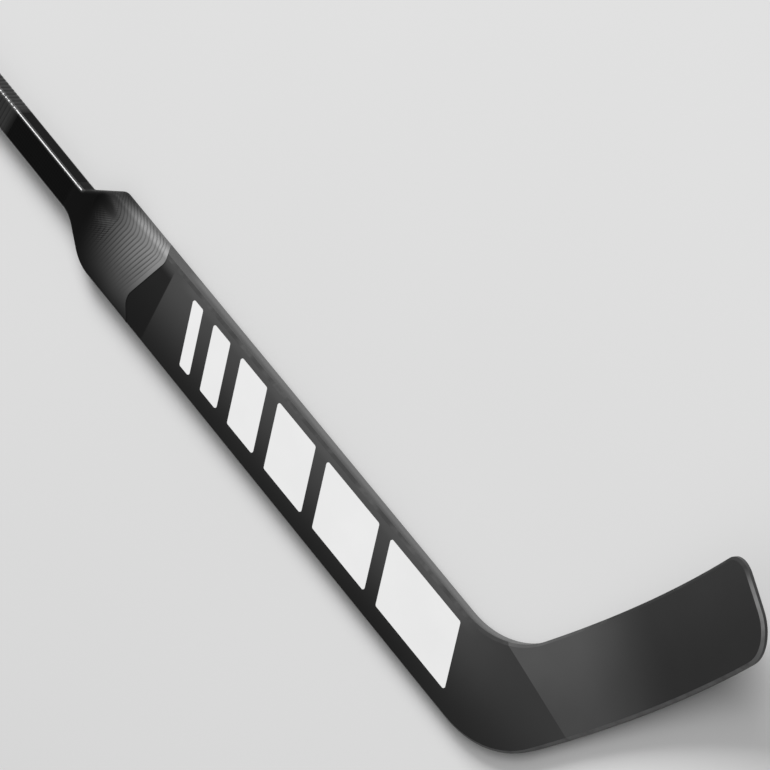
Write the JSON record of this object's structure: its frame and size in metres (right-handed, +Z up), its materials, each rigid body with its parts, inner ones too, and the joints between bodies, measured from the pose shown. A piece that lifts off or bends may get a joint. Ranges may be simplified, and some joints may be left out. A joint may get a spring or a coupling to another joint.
{
  "type": "hockey goalie stick",
  "caption": "Ice hockey goalie stick: hollow rectangular shaft, broad laminated paddle with a ribbed shoulder grip, and a curved blade bonded at the heel.",
  "frame": {"origin": "on the flat back of the stick, on the shaft's middle line, where the shaft ends and the paddle begins", "axes": "+X down the shaft towards the heel, +Y from the heel side towards the toe, +Z up out of the forehand face; the stick lies on its back"},
  "size_m": [1.6784, 0.3673, 0.0677],
  "materials": {
    "shaft_laminate": "satin clear coat over black fibre laminate",
    "paddle_laminate": "satin charcoal paint over fibre laminate",
    "blade_laminate": "satin charcoal paint over fibre laminate",
    "inner_laminate": "bare laminate, not seen",
    "foam": "structural foam, not seen",
    "grip": "ribbed soft-touch moulding",
    "plug": "moulded, matt"
  },
  "bodies": {
    "root": {"shaft_tube": "shaft_laminate", "shaft_foam": "foam", "shaft_grip": "grip", "butt_plug": "plug", "shoulder_grip": "grip", "paddle_front_skin": "paddle_laminate", "paddle_back_skin": "paddle_laminate", "paddle_toe_rail": "paddle_laminate", "paddle_heel_rail": "paddle_laminate", "paddle_spine": "inner_laminate", "paddle_toe_core": "foam", "paddle_heel_core": "foam", "heel_block": "inner_laminate", "blade_front_skin": "blade_laminate", "blade_back_skin": "blade_laminate", "blade_edge_band": "blade_laminate", "blade_upper_core": "foam", "blade_lower_core": "foam", "blade_rib": "inner_laminate"}
  },
  "joints": []
}
